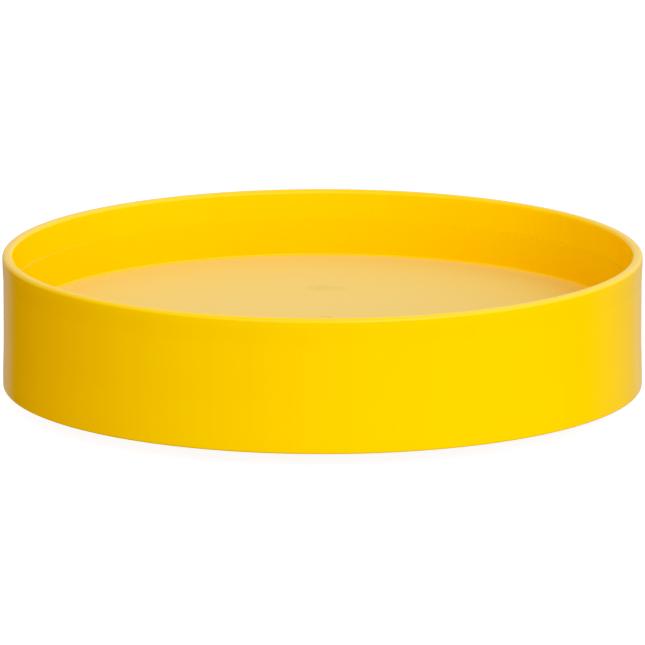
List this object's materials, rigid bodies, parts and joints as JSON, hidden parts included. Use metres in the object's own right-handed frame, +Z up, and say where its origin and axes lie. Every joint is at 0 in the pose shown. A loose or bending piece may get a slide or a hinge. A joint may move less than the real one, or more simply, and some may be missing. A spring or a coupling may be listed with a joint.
{
  "type": "drum dolly",
  "caption": "Round moulded drum dolly: a shallow yellow tray whose well holds the foot of one drum, on swivel casters that stand under its deck, inside its skirt.",
  "frame": {"origin": "on the floor, on the tray's axis: the centre of the bottom of the whole object's box", "axes": "+Z up along the tray's axis; at rest every caster trails towards +Y, and the wheels' axles lie along X"},
  "size_m": [0.63, 0.63, 0.147],
  "materials": {
    "yellow_plastic": "moulded polyethylene, satin gloss",
    "brass": "turned brass",
    "zinc_plated_steel": "bright zinc plating on pressed steel",
    "bare_steel": "plain turned steel, lightly oiled",
    "ball_steel": "polished hardened steel",
    "hub_plastic": "moulded black polypropylene",
    "tread_rubber": "grey non-marking thermoplastic rubber"
  },
  "bodies": {
    "tray_body": {"tray": "yellow_plastic", "threaded_inserts": "brass", "mounting_screws": "zinc_plated_steel", "mounting_washers": "zinc_plated_steel", "top_plate_1": "zinc_plated_steel", "top_plate_2": "zinc_plated_steel", "top_plate_3": "zinc_plated_steel", "top_plate_4": "zinc_plated_steel", "top_plate_5": "zinc_plated_steel", "kingpin_1": "bare_steel", "kingpin_2": "bare_steel", "kingpin_3": "bare_steel", "kingpin_4": "bare_steel", "kingpin_5": "bare_steel", "race_cup_1": "zinc_plated_steel", "race_cup_2": "zinc_plated_steel", "race_cup_3": "zinc_plated_steel", "race_cup_4": "zinc_plated_steel", "race_cup_5": "zinc_plated_steel"},
    "caster_1": {"fork_1": "zinc_plated_steel", "axle_bolt_1": "zinc_plated_steel", "axle_nut_1": "zinc_plated_steel", "axle_sleeve_1": "bare_steel"},
    "wheel_1": {"wheel_hub_1": "hub_plastic", "tread_1": "tread_rubber"},
    "race_balls_1": {"upper_balls_1": "ball_steel", "lower_balls_1": "ball_steel"},
    "caster_2": {"fork_2": "zinc_plated_steel", "axle_bolt_2": "zinc_plated_steel", "axle_nut_2": "zinc_plated_steel", "axle_sleeve_2": "bare_steel"},
    "wheel_2": {"wheel_hub_2": "hub_plastic", "tread_2": "tread_rubber"},
    "race_balls_2": {"upper_balls_2": "ball_steel", "lower_balls_2": "ball_steel"},
    "caster_3": {"fork_3": "zinc_plated_steel", "axle_bolt_3": "zinc_plated_steel", "axle_nut_3": "zinc_plated_steel", "axle_sleeve_3": "bare_steel"},
    "wheel_3": {"wheel_hub_3": "hub_plastic", "tread_3": "tread_rubber"},
    "race_balls_3": {"upper_balls_3": "ball_steel", "lower_balls_3": "ball_steel"},
    "caster_4": {"fork_4": "zinc_plated_steel", "axle_bolt_4": "zinc_plated_steel", "axle_nut_4": "zinc_plated_steel", "axle_sleeve_4": "bare_steel"},
    "wheel_4": {"wheel_hub_4": "hub_plastic", "tread_4": "tread_rubber"},
    "race_balls_4": {"upper_balls_4": "ball_steel", "lower_balls_4": "ball_steel"},
    "caster_5": {"fork_5": "zinc_plated_steel", "axle_bolt_5": "zinc_plated_steel", "axle_nut_5": "zinc_plated_steel", "axle_sleeve_5": "bare_steel"},
    "wheel_5": {"wheel_hub_5": "hub_plastic", "tread_5": "tread_rubber"},
    "race_balls_5": {"upper_balls_5": "ball_steel", "lower_balls_5": "ball_steel"}
  },
  "joints": [
    {"name": "swivel_1", "type": "hinge", "parent": "tray_body", "child": "caster_1", "pos_m": [0, -0.24157, 0.0594], "axis": [0, 0, 1], "continuous": true},
    {"name": "roll_1", "type": "hinge", "parent": "caster_1", "child": "wheel_1", "pos_m": [0, -0.21957, 0.025], "axis": [1, 0, 0], "continuous": true},
    {"name": "ball_orbit_1", "type": "hinge", "parent": "tray_body", "child": "race_balls_1", "pos_m": [0, -0.24157, 0.0594], "axis": [0, 0, 1], "continuous": true},
    {"name": "swivel_2", "type": "hinge", "parent": "tray_body", "child": "caster_2", "pos_m": [0.22974, -0.07465, 0.0594], "axis": [0, 0, 1], "continuous": true},
    {"name": "roll_2", "type": "hinge", "parent": "caster_2", "child": "wheel_2", "pos_m": [0.22974, -0.05265, 0.025], "axis": [1, 0, 0], "continuous": true},
    {"name": "ball_orbit_2", "type": "hinge", "parent": "tray_body", "child": "race_balls_2", "pos_m": [0.22974, -0.07465, 0.0594], "axis": [0, 0, 1], "continuous": true},
    {"name": "swivel_3", "type": "hinge", "parent": "tray_body", "child": "caster_3", "pos_m": [0.14199, 0.19543, 0.0594], "axis": [0, 0, 1], "continuous": true},
    {"name": "roll_3", "type": "hinge", "parent": "caster_3", "child": "wheel_3", "pos_m": [0.14199, 0.21743, 0.025], "axis": [1, 0, 0], "continuous": true},
    {"name": "ball_orbit_3", "type": "hinge", "parent": "tray_body", "child": "race_balls_3", "pos_m": [0.14199, 0.19543, 0.0594], "axis": [0, 0, 1], "continuous": true},
    {"name": "swivel_4", "type": "hinge", "parent": "tray_body", "child": "caster_4", "pos_m": [-0.14199, 0.19543, 0.0594], "axis": [0, 0, 1], "continuous": true},
    {"name": "roll_4", "type": "hinge", "parent": "caster_4", "child": "wheel_4", "pos_m": [-0.14199, 0.21743, 0.025], "axis": [1, 0, 0], "continuous": true},
    {"name": "ball_orbit_4", "type": "hinge", "parent": "tray_body", "child": "race_balls_4", "pos_m": [-0.14199, 0.19543, 0.0594], "axis": [0, 0, 1], "continuous": true},
    {"name": "swivel_5", "type": "hinge", "parent": "tray_body", "child": "caster_5", "pos_m": [-0.22974, -0.07465, 0.0594], "axis": [0, 0, 1], "continuous": true},
    {"name": "roll_5", "type": "hinge", "parent": "caster_5", "child": "wheel_5", "pos_m": [-0.22974, -0.05265, 0.025], "axis": [1, 0, 0], "continuous": true},
    {"name": "ball_orbit_5", "type": "hinge", "parent": "tray_body", "child": "race_balls_5", "pos_m": [-0.22974, -0.07465, 0.0594], "axis": [0, 0, 1], "continuous": true}
  ],
  "couplings": [
    {"joint": "ball_orbit_1", "follows": "swivel_1", "ratio": 0.5},
    {"joint": "ball_orbit_2", "follows": "swivel_2", "ratio": 0.5},
    {"joint": "ball_orbit_3", "follows": "swivel_3", "ratio": 0.5},
    {"joint": "ball_orbit_4", "follows": "swivel_4", "ratio": 0.5},
    {"joint": "ball_orbit_5", "follows": "swivel_5", "ratio": 0.5}
  ]
}
